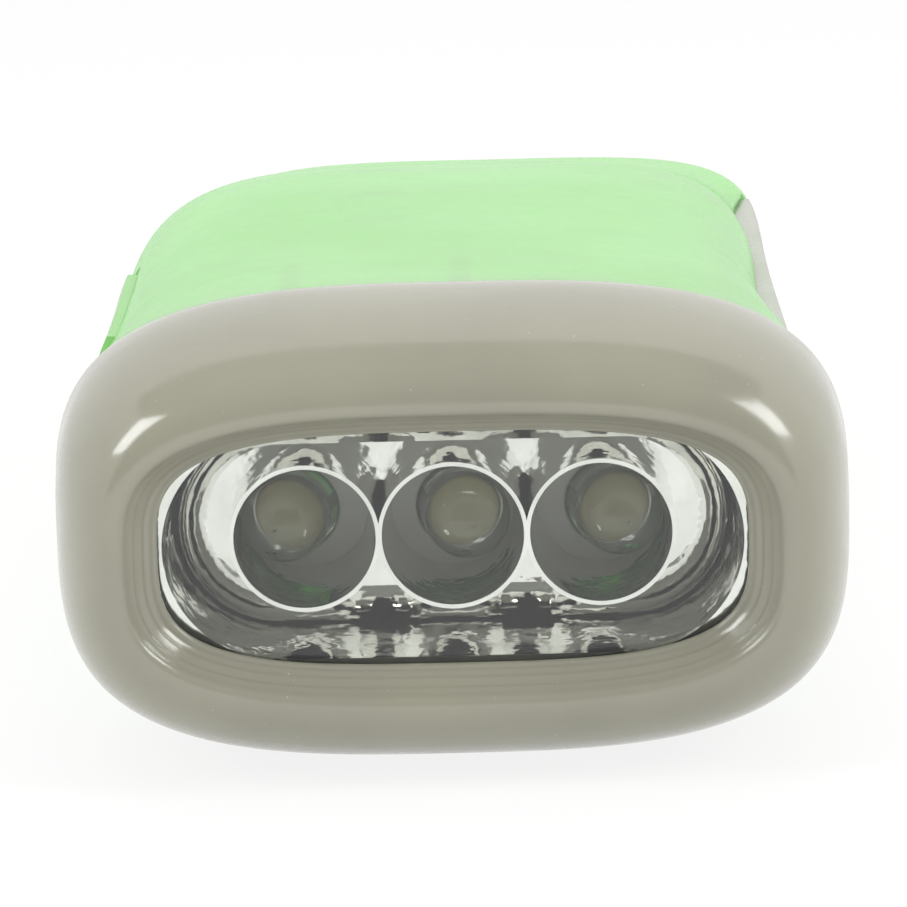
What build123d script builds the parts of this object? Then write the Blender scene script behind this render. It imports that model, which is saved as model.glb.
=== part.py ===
from build123d import *
from math import acos, copysign, cos, pi, radians, sin, tan
import os

# A pocket dynamo torch: three LEDs in an oval head, a hinged lever along the right side that is
# squeezed to spin a small generator through a two-stage gear train, and a green case in two halves.
# Millimetres. X is the torch's right (the lever side), -Y is the way it shines, Z is up.
# Depths are measured back from the front crest of the head, so y = depth - length / 2.

# case
length = 102.0
head_half_width = 23.2
wall = 1.6
parting_z = 12.0
base_sink = 0.4  # how far the rounded underside is cut flat
body_power = 3.6  # how square the case's cross-section is behind the head
tail_start = 90.0

# head
crest_z = 13.9
crest_half_width = 19.3
crest_half_height = 8.87
crest_land = 0.55
head_depth = 14.1
head_half_height = 13.6
rim_half_height = 13.0
rim_flare = 0.2
head_power = 3.14
window_half_width = 16.8
window_half_height = 6.8
window_power = 3.4
window_depth = 2.6
lens_lip = 0.8
lens_thickness = 1.0
flange_lip = 1.8
flange_thickness = 1.0
spigot_start = 10.0
spigot_inset = 1.8
front_web = 1.0  # the step that joins the spigot to the case
head_gap = 0.05

# reflector and LEDs
led_pitch = 8.5
led_radius = 2.5
led_flange_radius = 2.9
led_flange_height = 1.0
led_height = 8.6
led_base_depth = 16.4
led_tilts = {"left": 12.0, "middle": -8.0, "right": -11.0}
cup_rim_radius = 4.08
cup_rim_depth = 5.6
cup_waist_radius = 3.85
cup_hole_radius = 3.55
cup_end_depth = 12.8
cup_wall = 0.24
tray_wall = 0.8
tray_spread = 0.4
tray_floor_depth = 11.2
tray_draft = 0.8
tray_round = 1.9

# circuit board
board_depth = 17.4
board_thickness = 1.6
board_left, board_right = -13.5, 11.0
board_bottom, board_top = 3.6, 22.2
board_round = 4.0
lead_radius = 0.25
lead_spread = 1.27
lead_length = 4.0
lead_hole_gap = 0.25
diode_radius = 0.8
diode_length = 3.2
diode_count = 4
diode_pitch = 3.0
diode_x = -11.0
diode_z = 7.6

# lever
hinge_x, hinge_depth = 16.3, 22.5
pin_radius = 1.2
running_gap = 0.05
knuckle_radius = 5.7
knuckle_wall = 1.3
sleeve_radius = 2.6
lever_low, lever_high = 5.8, 18.2
lever_inner_x = 12.6
lever_end = 83.9
lever_wall = 1.8
lever_proud = 1.2  # how far it stands out of the case
lever_flange = 1.4
slot_gap = 0.3
arm_thickness = 2.4
web_angle = 132.0  # direction of the arm from the hinge to the toothed sector
web_half_angle = 7.0
lever_travel = 26.0
catch_x, catch_width, catch_start, catch_end = 13.0, 1.4, 77.0, 83.4

# gears
module = 0.7
pressure_angle = radians(25)
addendum = 0.8 * module
dedendum = 1.1 * module
backlash = 0.1
sector_teeth = 86
sector_rim = 3.6
sector_first, sector_last = -2, 8
train_angle = 127.1  # direction from the hinge to the first gear, in plan
first_pinion_teeth, first_wheel_teeth = 14, 30
second_pinion_teeth, second_wheel_teeth = 10, 26
rotor_pinion_teeth = 10
second_angle = 90.0
rotor_angle = 58.0
axle_radius = 0.75
axle_seat = 2.3
wheel_thickness = 2.2
first_pinion_z = 5.5
first_wheel_z = 8.8
second_pinion_z = 8.5
second_wheel_z = 11.8
rotor_pinion_z = 11.5
rotor_pinion_top = 14.3
level_gap = 0.3
first_hub_radius = 3.3
first_hub_top = 14.4
second_hub_top = 14.4
clutch_radius = 6.5
clutch_top = 19.8

# generator
magnet_radius = 6.8
magnet_bottom, magnet_top = 4.0, 8.6
flywheel_radius = 7.0
flywheel_thickness = 1.2
rotor_hub_radius = 2.2
air_gap = 0.5
core_width = 2.0
core_bottom, core_top = 4.6, 8.0
core_bar_depth, core_bar_width = 90.1, 2.8
pole_angle = 50.0
core_rest = 1.2  # width of the posts that carry it
core_rest_back = 8.5
bobbin_wall = 0.7
bobbin_flange = 0.7
bobbin_half_length = 5.3
bobbin_half_height = 4.0
winding_inset = 0.5

# return spring, coiled round the lever's sleeve
spring_wire = 0.35  # radius
spring_radius = 3.1
spring_pitch = 1.2
spring_turns = 4.5
spring_leg = 1.8

# battery
cell_radius = 5.8
cell_thickness = 5.1
cell_count = 3
cell_gap = 0.08
cell_left_x = -12.2
battery_depth, battery_z = 28.3, 15.2
sleeve_thickness = 0.18
tab_thickness = 0.2
tab_width = 4.0
cradle_thickness = 1.2

# thumb switch
slider_start, slider_end = 27.0, 46.0
slider_low, slider_high = 16.6, 21.4
slider_proud = 0.35
slider_gap = 0.4
slider_travel = 2.0
slider_flange = 0.85
slider_flange_reach = 0.9
slider_room = 0.3  # round its flange inside the case
switch_left, switch_right = -15.9, -12.6
switch_start, switch_end = 24.0, 34.0
switch_low, switch_high = 15.2, 20.8
nub_depth, nub_width, nub_height = 29.2, 1.6, 1.8
fork_width = 1.2
switch_lead_radius = 0.35
switch_lead_room = 1.1  # left free beside the wall for its leads
switch_wall = 1.0
switch_wall_gap = 0.1

# lever lock
lock_x = 13.6
lock_stem_width = 2.0
lock_stem_start, lock_stem_end = 87.3, 89.8
lock_travel = 3.0
lock_pad_half_width = 2.6
lock_pad_start, lock_pad_end = 85.0, 92.3
lock_pad_low, lock_pad_high = 0.45, 1.3
lock_floor = 1.5  # depth of the recess that the pad slides in
lock_floor_top = 3.0
lock_plate_thickness = 1.0
lock_arm_low, lock_arm_high = 8.6, 11.2
lock_finger_x, lock_finger_width, lock_finger_start = 15.2, 2.2, 84.5
lock_gap = 0.2

# screws and bosses
screw_radius = 1.0
screw_head_radius = 1.9
screw_head_height = 1.3
screw_seat = 3.5
screw_top = 15.0
boss_radius = 2.1
boss_meet_z = 10.0
boss_gap = 0.1
screw_spots = {
    "left": (-14.6, 39.5),
    "rear_left": (-12.6, 77.0),
    "rear": (13.0, 95.0),
    "front": (6.0, 24.2),
}
axle_boss_radius = 2.0
hinge_boss_radius = 3.0

# wiring from the coil to the board, laid on the case's floor
wire_radius = 0.5
wire_z = 3.4
wire_spacing = 1.4


def y_at(depth):
    return depth - length / 2


def section_plane(depth):
    """A plane across the torch at a depth: sketches on it are in x and z, facing the front."""
    return Plane.XZ.offset(-y_at(depth))


def ring_points(half_width, half_height, power, x=0.0, z=0.0, count=32):
    """Points round a superellipse, from its underside round to the right."""
    turns = [2 * pi * i / count - pi / 2 for i in range(count)]
    return [
        (
            x + half_width * copysign(abs(cos(t)) ** (2 / power), cos(t)),
            z + half_height * copysign(abs(sin(t)) ** (2 / power), sin(t)),
        )
        for t in turns
    ]


def ring_section(depth, half_width, half_height, power, x=0.0, z=crest_z):
    with BuildSketch(section_plane(depth)) as section:
        with BuildLine():
            Spline(*ring_points(half_width, half_height, power, x, z), periodic=True)
        make_face()
    return section.sketch


def stadium_section(depth, half_width, half_height):
    with BuildSketch(section_plane(depth)) as section:
        with Locations((0, crest_z)):
            SlotOverall(2 * half_width, 2 * half_height)
    return section.sketch


def lofted(sections):
    with BuildPart() as body:
        for section in sections:
            add(section)
        loft()
    return body.part


rim_top, rim_bottom = crest_z + rim_half_height, crest_z - rim_half_height

# The torch's outer form: depth, right and left half-widths, top and bottom heights, squareness, and
# how far the case is drawn in on the right, so that the lever stands proud of it.
body_stations = [
    (head_depth, head_half_width, head_half_width, rim_top, rim_bottom, head_power, 0),
    (20.0, 22.1, 22.1, 26.5, 0.1, 3.4, 0),
    (30.0, 21.6, 21.6, 26.1, -base_sink, body_power, 0.6),
    (50.0, 21.4, 21.4, 25.5, -base_sink, 3.9, lever_proud),
    (70.0, 21.7, 20.0, 23.7, -base_sink, 4.2, lever_proud),
    (79.0, 22.0, 18.2, 22.2, -base_sink, 4.5, lever_proud),
    (86.5, 22.1, 16.0, 21.0, -base_sink, 4.6, 0),
    (93.0, 21.0, 12.6, 19.3, -base_sink, 4.2, 0),
    (98.5, 17.5, 8.2, 16.8, 1.6, 3.4, 0),
    (101.2, 13.4, 3.4, 13.9, 4.0, 2.8, 0),
    (length, 10.2, 0.2, 11.6, 6.2, 2.6, 0),
]


def body_form(inset=0.0, with_lever=False):
    """The outer form, of the case alone or with the lever, drawn in by an inset all round and at the tail."""
    sections = []
    for depth, right, left, top, bottom, power, set_back in body_stations:
        tail_share = max(0.0, depth - tail_start) / (length - tail_start)
        side = right if with_lever else right - set_back
        sections.append(
            ring_section(
                depth - inset * tail_share,
                (side + left) / 2 - inset,
                (top - bottom) / 2 - inset,
                power,
                (side - left) / 2,
                (top + bottom) / 2,
            )
        )
    return lofted(sections)


def slab(x0, x1, depth0, depth1, z0, z1):
    """A box between two corners, for cuts, ribs and rails."""
    middle = Pos((x0 + x1) / 2, y_at((depth0 + depth1) / 2), (z0 + z1) / 2)
    return middle * Box(x1 - x0, depth1 - depth0, z1 - z0, mode=Mode.PRIVATE)


def post(x, depth, radius, z0, z1):
    """An upright cylinder."""
    return Pos(x, y_at(depth), (z0 + z1) / 2) * Cylinder(radius, z1 - z0, mode=Mode.PRIVATE)


outer_form = body_form()
cavity_form = body_form(wall)
core_form = body_form(wall / 2)
lever_form = body_form(0, True)
finger_form = body_form(lever_wall, True)
reach = 2 * head_half_width
case_top = max(station[3] for station in body_stations) + wall


def pitch_radius(teeth):
    return module * teeth / 2


def stepped(start, angle, distance):
    return start[0] + distance * cos(radians(angle)), start[1] + distance * sin(radians(angle))


hinge = (hinge_x, hinge_depth)
first_spot = stepped(hinge, train_angle, pitch_radius(sector_teeth + first_pinion_teeth))
second_spot = stepped(first_spot, second_angle, pitch_radius(first_wheel_teeth + second_pinion_teeth))
rotor_spot = stepped(second_spot, rotor_angle, pitch_radius(second_wheel_teeth + rotor_pinion_teeth))


def involute(angle):
    return tan(angle) - angle


def tooth_half_angle(teeth, radius):
    """Half a tooth's width at a radius, as an angle at the gear's centre."""
    base = pitch_radius(teeth) * cos(pressure_angle)
    local = acos(min(1.0, base / radius))
    half = pi / (2 * teeth) - backlash / (2 * pitch_radius(teeth))
    return half + involute(pressure_angle) - involute(local)


def spot_at(radius, angle):
    return radius * cos(angle), radius * sin(angle)


def tooth_line(teeth, middle):
    """One tooth's outline, from its root on the right to its root on the left."""
    root = pitch_radius(teeth) - dedendum
    tip = pitch_radius(teeth) + addendum
    foot = max(root, pitch_radius(teeth) * cos(pressure_angle))
    half = {r: tooth_half_angle(teeth, r) for r in (foot, (foot + tip) / 2, tip)}
    right = [spot_at(r, middle - a) for r, a in half.items()]
    left = [spot_at(r, middle + a) for r, a in half.items()]
    if foot > root:
        Line(spot_at(root, middle - half[foot]), right[0])
    ThreePointArc(*right)
    ThreePointArc(right[-1], spot_at(tip, middle), left[-1])
    ThreePointArc(*reversed(left))
    if foot > root:
        Line(left[0], spot_at(root, middle + half[foot]))


def root_line(teeth, middle):
    """The valley between one tooth and the next."""
    root = pitch_radius(teeth) - dedendum
    foot = max(root, pitch_radius(teeth) * cos(pressure_angle))
    half = tooth_half_angle(teeth, foot)
    step = 2 * pi / teeth
    ends = [middle + half, middle + step / 2, middle + step - half]
    ThreePointArc(*[spot_at(root, a) for a in ends])


def toothed_disc(teeth, spot, z0, z1, tooth_angle):
    """A spur gear with a tooth pointing at the given angle in degrees."""
    with BuildPart() as disc:
        with BuildSketch(Plane((spot[0], y_at(spot[1]), z0))):
            with BuildLine():
                for i in range(teeth):
                    middle = radians(tooth_angle) + 2 * pi * i / teeth
                    tooth_line(teeth, middle)
                    root_line(teeth, middle)
            make_face()
        extrude(amount=z1 - z0)
    return disc.part


def meshing_angle(teeth, direction):
    """Where a driven gear's tooth points so that its gap faces the tooth that drives it."""
    return direction + 180 + 180 / teeth


def head_sections():
    """The head's outside: a long rounded shoulder from the crest to its widest, then the rim."""
    widest = 0.75 * head_depth
    sections = []
    for angle in range(0, 91, 15):
        out = sin(radians(angle))
        half_width = crest_half_width + (head_half_width - rim_flare - crest_half_width) * out
        half_height = crest_half_height + (head_half_height - crest_half_height) * out
        depth = widest * (1 - cos(radians(angle)))
        sections.append(ring_section(depth, half_width, half_height, head_power))
    sections.append(ring_section(head_depth, head_half_width, rim_half_height, head_power))
    return sections


def mouth_sections():
    """The bevel from the crest down to the window."""
    return [
        ring_section(-0.01, crest_half_width - crest_land, crest_half_height - crest_land, head_power),
        ring_section(0.5, crest_half_width - 0.85, crest_half_height - 0.8, head_power),
        ring_section(window_depth + 0.01, window_half_width, window_half_height, window_power),
    ]


lens_back = window_depth + lens_thickness
flange_back = lens_back + flange_thickness
spigot_half_width = head_half_width - spigot_inset
spigot_half_height = rim_half_height - spigot_inset

head_outer = lofted(head_sections())
mouth = lofted(mouth_sections())

with BuildPart() as front_bezel:
    add(head_outer)
    add(mouth, mode=Mode.SUBTRACT)
    for start, end, lip in (
        (window_depth, lens_back, lens_lip),
        (lens_back, spigot_start - head_gap, flange_lip),
    ):
        seat = stadium_section(end, window_half_width + lip + head_gap, window_half_height + lip + head_gap)
        extrude(seat, amount=end - start, mode=Mode.SUBTRACT)
    socket = ring_section(head_depth, spigot_half_width, spigot_half_height, head_power)
    extrude(socket, amount=head_depth - spigot_start + head_gap, mode=Mode.SUBTRACT)

with BuildPart() as window_lens:
    pane = stadium_section(lens_back, window_half_width + lens_lip, window_half_height + lens_lip)
    extrude(pane, amount=lens_thickness)

led_spots = {"left": -led_pitch, "middle": 0.0, "right": led_pitch}

with BuildPart() as cup_outside:
    with BuildSketch(section_plane(cup_end_depth)):
        with Locations(*[(x, crest_z) for x in led_spots.values()]):
            Circle(cup_rim_radius + cup_wall)
    extrude(amount=cup_end_depth - cup_rim_depth)

with BuildPart() as cup_inside:
    with BuildSketch(Plane.XY):
        with BuildLine():
            Line((0, -0.01), (cup_rim_radius, -0.01))
            ThreePointArc(
                (cup_rim_radius, -0.01),
                (cup_waist_radius, 0.62 * (cup_end_depth - cup_rim_depth)),
                (cup_hole_radius, cup_end_depth - cup_rim_depth + 0.01),
            )
            Line(
                (cup_hole_radius, cup_end_depth - cup_rim_depth + 0.01),
                (0, cup_end_depth - cup_rim_depth + 0.01),
            )
            Line((0, cup_end_depth - cup_rim_depth + 0.01), (0, -0.01))
        make_face()
    revolve(axis=Axis.Y)

tray_mouth = stadium_section(lens_back - 0.01, window_half_width - 0.2, window_half_height - 0.2)
tray_sections = []
for angle in (0, 30, 60, 84):
    drawn_in = tray_draft + tray_round * (1 - cos(radians(angle)))
    depth = tray_floor_depth - tray_round * (1 - sin(radians(angle)))
    tray_sections.append(
        stadium_section(depth, window_half_width - drawn_in, window_half_height - drawn_in)
    )
tray_hollow = lofted([tray_mouth, tray_sections[0]]) + lofted(tray_sections)

with BuildPart() as reflector:
    rim = stadium_section(flange_back, window_half_width + flange_lip, window_half_height + flange_lip)
    extrude(rim, amount=flange_thickness - head_gap)
    tray_back = tray_floor_depth + tray_wall
    tray = stadium_section(tray_back, window_half_width + tray_spread, window_half_height + tray_spread)
    extrude(tray, amount=tray_back - flange_back)
    add(tray_hollow, mode=Mode.SUBTRACT)
    add(cup_outside.part)
    with Locations(*[(x, y_at(cup_rim_depth), crest_z) for x in led_spots.values()]):
        add(cup_inside.part, mode=Mode.SUBTRACT)


def led_frame(name):
    """An LED's own frame: its base at the origin and its dome along +Z."""
    tilt = radians(led_tilts[name])
    return Plane(
        origin=(led_spots[name], y_at(led_base_depth), crest_z),
        x_dir=(cos(tilt), -sin(tilt), 0),
        z_dir=(-sin(tilt), -cos(tilt), 0),
    )


with BuildPart() as led_bulb:
    with BuildSketch(Plane.XZ):
        with BuildLine():
            Line((0, 0), (led_flange_radius, 0))
            Line((led_flange_radius, 0), (led_flange_radius, led_flange_height))
            Line((led_flange_radius, led_flange_height), (led_radius, led_flange_height))
            Line((led_radius, led_flange_height), (led_radius, led_height - led_radius))
            CenterArc((0, led_height - led_radius), led_radius, 0, 90)
            Line((0, led_height), (0, 0))
        make_face()
    revolve(axis=Axis.Z)

leds = {}
for name in led_spots:
    with BuildPart() as bulb:
        add(led_frame(name).location * led_bulb.part)
    leds[name] = bulb

with BuildPart() as lead_pair:
    with Locations((-lead_spread, 0, 0), (lead_spread, 0, 0)):
        Cylinder(lead_radius, lead_length, align=(Align.CENTER, Align.CENTER, Align.MAX))

with BuildPart() as lead_clearance:
    with Locations((-lead_spread, 0, 0), (lead_spread, 0, 0)):
        Cylinder(lead_radius + lead_hole_gap, lead_length, align=(Align.CENTER, Align.CENTER, Align.MAX))

with BuildPart() as led_leads:
    for name in led_spots:
        add(led_frame(name).location * lead_pair.part)

board_back = board_depth + board_thickness
with BuildPart() as led_board:
    with BuildSketch(section_plane(board_back)):
        with Locations(((board_left + board_right) / 2, (board_bottom + board_top) / 2)):
            RectangleRounded(board_right - board_left, board_top - board_bottom, board_round)
    extrude(amount=board_thickness)
    for name in led_spots:
        add(led_frame(name).location * lead_clearance.part, mode=Mode.SUBTRACT)

with BuildPart() as rectifier_diodes:
    with Locations(
        *[
            (diode_x + i * diode_pitch, y_at(board_back + diode_radius + head_gap), diode_z)
            for i in range(diode_count)
        ]
    ):
        Cylinder(diode_radius, diode_length)

slot_low, slot_high = lever_low - slot_gap, lever_high + slot_gap


def lever_bay(gap):
    """The room on the right-hand side that the lever fills, with a gap round it."""
    low, high = lever_low - gap, lever_high + gap
    bay = slab(lever_inner_x, reach, hinge_depth, lever_end + gap, low, high)
    return bay + post(hinge_x, hinge_depth, knuckle_radius + gap, low, high)


knuckle_wall_arc = post(hinge_x, hinge_depth, knuckle_radius, lever_low, lever_high) - post(
    hinge_x, hinge_depth, knuckle_radius - knuckle_wall, lever_low, lever_high
)
hollow_low, hollow_high = lever_low + lever_flange, lever_high - lever_flange

with BuildPart() as sector:
    with BuildSketch(Plane((hinge_x, y_at(hinge_depth), lever_low))):
        with BuildLine():
            middles = [
                radians(train_angle) + 2 * pi * i / sector_teeth for i in range(sector_first, sector_last + 1)
            ]
            for i, middle in enumerate(middles):
                tooth_line(sector_teeth, middle)
                if middle is not middles[-1]:
                    root_line(sector_teeth, middle)
            root = pitch_radius(sector_teeth) - dedendum
            inner = root - sector_rim
            start = middles[0] - tooth_half_angle(sector_teeth, root)
            end = middles[-1] + tooth_half_angle(sector_teeth, root)
            Line(spot_at(root, end), spot_at(inner, end))
            ThreePointArc(spot_at(inner, end), spot_at(inner, (start + end) / 2), spot_at(inner, start))
            Line(spot_at(inner, start), spot_at(root, start))
        make_face()
        with BuildLine():
            web = [
                spot_at(sleeve_radius, radians(web_angle + 90)),
                spot_at(inner + sector_rim / 2, radians(web_angle + web_half_angle)),
                spot_at(inner + sector_rim / 2, radians(web_angle - web_half_angle)),
                spot_at(sleeve_radius, radians(web_angle - 90)),
            ]
            Polyline(*web, close=True)
        make_face()
    extrude(amount=arm_thickness)

with BuildPart() as squeeze_lever:
    add(lever_form)
    add(
        slab(lever_inner_x, reach, hinge_depth, lever_end, lever_low, lever_high),
        mode=Mode.INTERSECT,
    )
    add(
        finger_form
        & slab(lever_inner_x - 1, reach, hinge_depth - 1, lever_end + 1, hollow_low, hollow_high),
        mode=Mode.SUBTRACT,
    )
    add(post(hinge_x, hinge_depth, knuckle_radius, lever_low, lever_low + arm_thickness))
    add(post(hinge_x, hinge_depth, knuckle_radius, hollow_high, lever_high))
    add(knuckle_wall_arc & slab(hinge_x, reach, 0, hinge_depth, lever_low, lever_high))
    add(post(hinge_x, hinge_depth, sleeve_radius, lever_low, lever_high))
    add(slab(catch_x, catch_x + catch_width, catch_start, catch_end, hollow_low, hollow_high))
    add(sector.part)
    add(
        post(hinge_x, hinge_depth, pin_radius + running_gap, lever_low, lever_high),
        mode=Mode.SUBTRACT,
    )

pin_low, pin_high = slot_low - axle_seat - 1, slot_high + axle_seat
with BuildPart() as lever_pin:
    add(post(hinge_x, hinge_depth, pin_radius, pin_low, pin_high))

spring_low = lever_low + arm_thickness + spring_wire + slot_gap
with BuildPart() as return_spring:
    with BuildLine(Plane((hinge_x, y_at(hinge_depth), spring_low))):
        coil = Helix(spring_pitch, spring_pitch * spring_turns, spring_radius)
    with BuildSketch(Plane(coil @ 0, z_dir=coil % 0)):
        Circle(spring_wire)
    sweep(is_frenet=True)
    for end, way in ((0, -1), (1, 1)):
        with BuildSketch(Plane(coil @ end, z_dir=(coil % end) * way)):
            Circle(spring_wire)
        extrude(amount=spring_leg)
print("least gap between the spring's turns", round(spring_pitch - 2 * spring_wire, 2))

def axle_at(spot, low, high):
    return post(*spot, axle_radius, low, high)


first_pinion_angle = meshing_angle(first_pinion_teeth, train_angle)
second_pinion_angle = meshing_angle(second_pinion_teeth, second_angle)
rotor_pinion_angle = meshing_angle(rotor_pinion_teeth, rotor_angle)
first_wheel_top = first_wheel_z + wheel_thickness
second_wheel_top = second_wheel_z + wheel_thickness

with BuildPart() as first_gear:
    add(toothed_disc(first_pinion_teeth, first_spot, first_pinion_z, first_wheel_z, first_pinion_angle))
    add(toothed_disc(first_wheel_teeth, first_spot, first_wheel_z, first_wheel_top, second_angle))
    add(post(*first_spot, first_hub_radius, first_wheel_top, first_hub_top))
    add(
        post(*first_spot, axle_radius + running_gap, first_pinion_z, first_hub_top),
        mode=Mode.SUBTRACT,
    )

with BuildPart() as clutch_drum:
    add(post(*first_spot, clutch_radius, first_hub_top + boss_gap, clutch_top))
    fillet(clutch_drum.edges().group_by(Axis.Z)[-1], 0.6)
    add(
        post(*first_spot, axle_radius + running_gap, first_hub_top, clutch_top + 1),
        mode=Mode.SUBTRACT,
    )

with BuildPart() as second_gear:
    add(toothed_disc(second_pinion_teeth, second_spot, second_pinion_z, second_wheel_z, second_pinion_angle))
    add(toothed_disc(second_wheel_teeth, second_spot, second_wheel_z, second_wheel_top, rotor_angle))
    add(post(*second_spot, axle_boss_radius, second_wheel_top, second_hub_top))
    add(
        post(*second_spot, axle_radius + running_gap, second_pinion_z, second_hub_top),
        mode=Mode.SUBTRACT,
    )

with BuildPart() as rotor_gear:
    add(toothed_disc(rotor_pinion_teeth, rotor_spot, rotor_pinion_z, rotor_pinion_top, rotor_pinion_angle))
    add(post(*rotor_spot, rotor_hub_radius, magnet_bottom - boss_gap, rotor_pinion_z))
    add(
        post(*rotor_spot, axle_radius + running_gap, magnet_bottom - 1, rotor_pinion_top),
        mode=Mode.SUBTRACT,
    )

with BuildPart() as ring_magnet:
    add(post(*rotor_spot, magnet_radius, magnet_bottom, magnet_top))
    add(
        post(*rotor_spot, rotor_hub_radius + 0.02, magnet_bottom, magnet_top),
        mode=Mode.SUBTRACT,
    )

flywheel_bottom = magnet_top + 0.05
flywheel_top = flywheel_bottom + flywheel_thickness
with BuildPart() as flywheel:
    add(post(*rotor_spot, flywheel_radius, flywheel_bottom, flywheel_top))
    add(
        post(*rotor_spot, rotor_hub_radius + 0.02, flywheel_bottom, flywheel_top),
        mode=Mode.SUBTRACT,
    )

# each axle: its place, where its lower boss ends and where its upper boss starts
axles = {
    "first_axle": (first_spot, first_pinion_z - level_gap, clutch_top + level_gap),
    "second_axle": (second_spot, second_pinion_z - level_gap, second_hub_top + level_gap),
    "rotor_axle": (rotor_spot, magnet_bottom - boss_gap - level_gap, rotor_pinion_top + level_gap),
}
axle_parts = {}
for name, (spot, low, high) in axles.items():
    with BuildPart() as axle:
        add(axle_at(spot, low - axle_seat, high + axle_seat))
    axle_parts[name] = axle

core_inner = magnet_radius + air_gap
core_outer = core_inner + core_width
rotor_plane = Plane((rotor_spot[0], y_at(rotor_spot[1]), core_bottom))
core_reach = core_bar_depth + core_bar_width / 2 - rotor_spot[1]

with BuildPart() as stator_core:
    with BuildSketch(rotor_plane):
        Circle(core_outer)
        Circle(core_inner, mode=Mode.SUBTRACT)
        for facing in (90, -90):
            with Locations(spot_at(core_outer, radians(facing))):
                Rectangle(
                    2 * core_outer * cos(radians(pole_angle)),
                    2 * core_outer * (1 - sin(radians(pole_angle))) + core_width,
                    mode=Mode.SUBTRACT,
                )
        for side in (-1, 1):
            with Locations((side * (core_outer - core_width / 2), core_reach / 2)):
                Rectangle(core_width, core_reach)
        with Locations((0, core_reach - core_bar_width / 2)):
            Rectangle(2 * core_outer, core_bar_width)
        Circle(core_inner, mode=Mode.SUBTRACT)
    extrude(amount=core_top - core_bottom)

core_z = (core_bottom + core_top) / 2
bar_centre = (rotor_spot[0], y_at(core_bar_depth), core_z)
tube_width = core_bar_width + 2 * (bobbin_wall + head_gap)
tube_height = core_top - core_bottom + 2 * (bobbin_wall + head_gap)

with BuildPart() as coil_bobbin:
    with Locations(bar_centre):
        Box(2 * bobbin_half_length, tube_width, tube_height)
    for side in (-1, 1):
        offset = side * (bobbin_half_length - bobbin_flange / 2)
        with Locations((bar_centre[0] + offset, bar_centre[1], core_z)):
            Box(bobbin_flange, 2 * bobbin_half_height, 2 * bobbin_half_height)
    fillet(coil_bobbin.edges().filter_by(Axis.X).group_by(SortBy.DISTANCE)[-1], 1.0)
    with Locations(bar_centre):
        Box(
            2 * bobbin_half_length,
            core_bar_width + 2 * head_gap,
            core_top - core_bottom + 2 * head_gap,
            mode=Mode.SUBTRACT,
        )

winding_length = 2 * (bobbin_half_length - bobbin_flange) - 2 * head_gap
with BuildPart() as coil_winding:
    with BuildSketch(Plane.YZ.offset(rotor_spot[0] - winding_length / 2)):
        with Locations((bar_centre[1], core_z)):
            side = 2 * (bobbin_half_height - winding_inset)
            RectangleRounded(side, side, 1.6)
            Rectangle(tube_width + 2 * head_gap, tube_height + 2 * head_gap, mode=Mode.SUBTRACT)
    extrude(amount=winding_length)

cell_axis = Plane((cell_left_x, y_at(battery_depth), battery_z), x_dir=(0, 1, 0), z_dir=(1, 0, 0))
stack_length = cell_count * cell_thickness + (cell_count - 1) * cell_gap

with BuildPart() as battery_cells:
    for i in range(cell_count):
        with BuildSketch(cell_axis.offset(i * (cell_thickness + cell_gap))):
            Circle(cell_radius)
        extrude(amount=cell_thickness)
    fillet(battery_cells.edges().filter_by(GeomType.CIRCLE), 0.5)

with BuildPart() as battery_sleeve:
    with BuildSketch(cell_axis):
        Circle(cell_radius + 0.02 + sleeve_thickness)
        Circle(cell_radius + 0.02, mode=Mode.SUBTRACT)
    extrude(amount=stack_length)

with BuildPart() as battery_tabs:
    for x in (cell_left_x - tab_thickness - head_gap, cell_left_x + stack_length + head_gap):
        add(
            slab(
                x,
                x + tab_thickness,
                board_back + head_gap,
                battery_depth + tab_width / 2,
                battery_z - tab_width / 2,
                battery_z + tab_width / 2,
            )
        )

slider_skin = body_form(-slider_proud)
flange_outer = body_form(wall + head_gap * 2)
flange_inner = body_form(wall + head_gap * 2 + slider_flange)
nub_z = (slider_low + slider_high) / 2
fork_inner = switch_left - 0.2

with BuildPart() as slider_fork:
    for way in (-1, 1):
        near = nub_depth + way * (nub_width / 2 + 0.15)
        far = near + way * fork_width
        add(slab(-reach, fork_inner, min(near, far), max(near, far), nub_z - 1.4, nub_z + 1.4))

with BuildPart() as switch_slider:
    add(slider_skin & slab(-reach, 0, slider_start, slider_end, slider_low, slider_high))
    fillet(switch_slider.edges().filter_by(Axis.Z), 1.2)
    add(
        flange_outer
        & slab(
            -reach,
            0,
            slider_start - slider_flange_reach - slider_travel / 2,
            slider_end + slider_flange_reach + slider_travel,
            slider_low - slider_flange_reach,
            slider_high + slider_flange_reach,
        )
    )
    add(slider_fork.part & flange_outer)
    add(
        flange_inner - slider_fork.part,
        mode=Mode.SUBTRACT,
    )

with BuildPart() as switch_nub:
    add(
        slab(
            switch_left - 1.7,
            switch_left - head_gap,
            nub_depth - nub_width / 2,
            nub_depth + nub_width / 2,
            nub_z - nub_height / 2,
            nub_z + nub_height / 2,
        )
    )

with BuildPart() as switch_body:
    add(slab(switch_left, switch_right, switch_start, switch_end, switch_low, switch_high))
    fillet(switch_body.edges().filter_by(Axis.X), 0.4)

with BuildPart() as switch_leads:
    for z in (switch_low + 1.3, switch_high - 1.3):
        with BuildSketch(Plane.XZ.offset(-y_at(switch_start - head_gap))):
            with Locations((switch_right - 0.5, z)):
                Circle(switch_lead_radius)
        extrude(amount=switch_start - board_back - 2 * head_gap)

stem_left, stem_right = lock_x - lock_stem_width / 2, lock_x + lock_stem_width / 2
plate_low = lock_floor_top + lock_gap

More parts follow.
